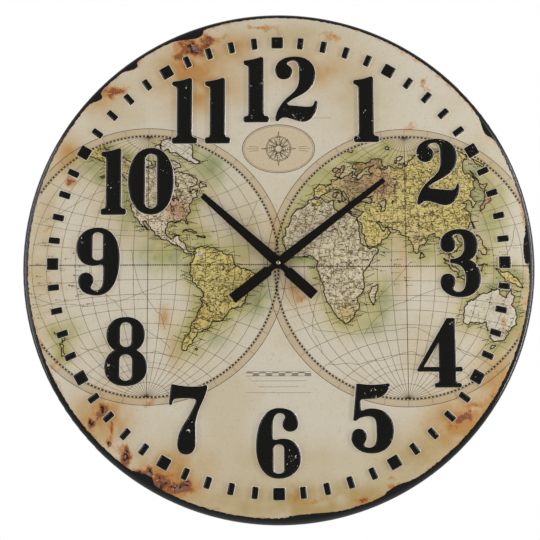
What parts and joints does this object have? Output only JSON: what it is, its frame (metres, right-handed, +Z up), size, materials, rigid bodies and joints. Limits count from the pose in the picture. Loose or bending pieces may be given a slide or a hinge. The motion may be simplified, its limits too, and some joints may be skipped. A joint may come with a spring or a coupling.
{
  "type": "wall clock",
  "caption": "Round hanging wall clock: a shallow pressed steel pan with raised numerals and an old map print, flat black hands and a battery movement behind.",
  "frame": {"origin": "on the axis of the hanging screw, in the plane of the wall that the pan's back edge rests on; the dial's centre is 146 mm below it", "axes": "+Z up, +Y into the wall along the hanging screw and the dial's axis, +X to the viewer's right"},
  "size_m": [0.5799, 0.0418, 0.58],
  "materials": {
    "dial_print": "satin",
    "hand_black": "satin",
    "bright_nickel": "polished",
    "bracket_steel": "satin",
    "brass": "satin",
    "seal_rubber": "matt",
    "case_plastic": "fine grain",
    "plate_plastic": "plain",
    "wheel_plastic": "moulded",
    "knob_plastic": "moulded",
    "spring_steel": "bright",
    "magnet": "sintered",
    "motor_steel": "plain",
    "coil_copper": "enamelled wire",
    "board_green": "lacquered",
    "chip_black": "glossy",
    "battery_steel": "bright",
    "battery_wrap": "film"
  },
  "bodies": {
    "clock": {"dial_plate": "dial_print", "hanger_bracket": "bracket_steel", "brass_washer": "brass", "hex_nut": "brass", "rubber_washer": "seal_rubber", "threaded_bushing": "brass", "front_case": "case_plastic", "rear_case": "case_plastic", "middle_plate": "plate_plastic", "train_plate": "plate_plastic", "stator": "motor_steel", "coil_core": "motor_steel", "coil_bobbin": "plate_plastic", "coil_winding": "coil_copper", "circuit_board": "board_green", "chip_cover": "chip_black", "quartz_crystal": "spring_steel", "battery_contact_positive": "spring_steel", "battery_contact_negative": "spring_steel"},
    "minute_hand_assembly": {"minute_arbor": "brass", "minute_hand": "hand_black", "cap_nut": "bright_nickel", "clutch_spring": "spring_steel"},
    "hour_hand_assembly": {"hour_wheel": "wheel_plastic", "hour_hand": "hand_black"},
    "minute_wheel_body": {"minute_wheel": "wheel_plastic"},
    "setting_knob_body": {"setting_knob": "knob_plastic"},
    "rotor": {"rotor_pinion": "wheel_plastic", "rotor_magnet": "magnet"},
    "fifth_wheel_body": {"fifth_wheel": "wheel_plastic"},
    "fourth_wheel_body": {"fourth_wheel": "wheel_plastic"},
    "third_wheel_body": {"third_wheel": "wheel_plastic"},
    "centre_wheel_body": {"centre_wheel": "wheel_plastic"},
    "battery": {"battery_cell": "battery_steel", "battery_sleeve": "battery_wrap"}
  },
  "joints": [
    {"name": "minute_turn", "type": "hinge", "parent": "clock", "child": "minute_hand_assembly", "pos_m": [0, -0.03, -0.146], "axis": [0, 1, 0], "continuous": true},
    {"name": "hour_turn", "type": "hinge", "parent": "clock", "child": "hour_hand_assembly", "pos_m": [0, -0.03, -0.146], "axis": [0, 1, 0], "continuous": true},
    {"name": "minute_wheel_turn", "type": "hinge", "parent": "clock", "child": "minute_wheel_body", "pos_m": [0.00985, -0.03, -0.14426], "axis": [0, 1, 0], "continuous": true},
    {"name": "knob_turn", "type": "hinge", "parent": "clock", "child": "setting_knob_body", "pos_m": [0.02106, -0.03, -0.14524], "axis": [0, 1, 0], "continuous": true},
    {"name": "fourth_wheel_turn", "type": "hinge", "parent": "clock", "child": "fourth_wheel_body", "pos_m": [0, -0.03, -0.146], "axis": [0, 1, 0], "continuous": true},
    {"name": "fifth_wheel_turn", "type": "hinge", "parent": "clock", "child": "fifth_wheel_body", "pos_m": [0.00181, -0.03, -0.13576], "axis": [0, 1, 0], "continuous": true},
    {"name": "rotor_turn", "type": "hinge", "parent": "clock", "child": "rotor", "pos_m": [0.00968, -0.03, -0.13437], "axis": [0, 1, 0], "continuous": true},
    {"name": "third_wheel_turn", "type": "hinge", "parent": "clock", "child": "third_wheel_body", "pos_m": [-0.00866, -0.03, -0.141], "axis": [0, 1, 0], "continuous": true},
    {"name": "centre_wheel_turn", "type": "hinge", "parent": "clock", "child": "centre_wheel_body", "pos_m": [0, -0.03, -0.146], "axis": [0, 1, 0], "continuous": true},
    {"name": "battery_slide", "type": "slide", "parent": "clock", "child": "battery", "axis": [0, 1, 0], "range_m": [0, 0.03]}
  ],
  "couplings": [
    {"joint": "hour_turn", "follows": "minute_turn", "ratio": 0.083333},
    {"joint": "minute_wheel_turn", "follows": "minute_turn", "ratio": -0.33333},
    {"joint": "knob_turn", "follows": "minute_turn", "ratio": 0.66667},
    {"joint": "fifth_wheel_turn", "follows": "rotor_turn", "ratio": -0.16667},
    {"joint": "fourth_wheel_turn", "follows": "rotor_turn", "ratio": 0.033333},
    {"joint": "third_wheel_turn", "follows": "rotor_turn", "ratio": -0.0044444},
    {"joint": "centre_wheel_turn", "follows": "rotor_turn", "ratio": 0.00055556}
  ]
}
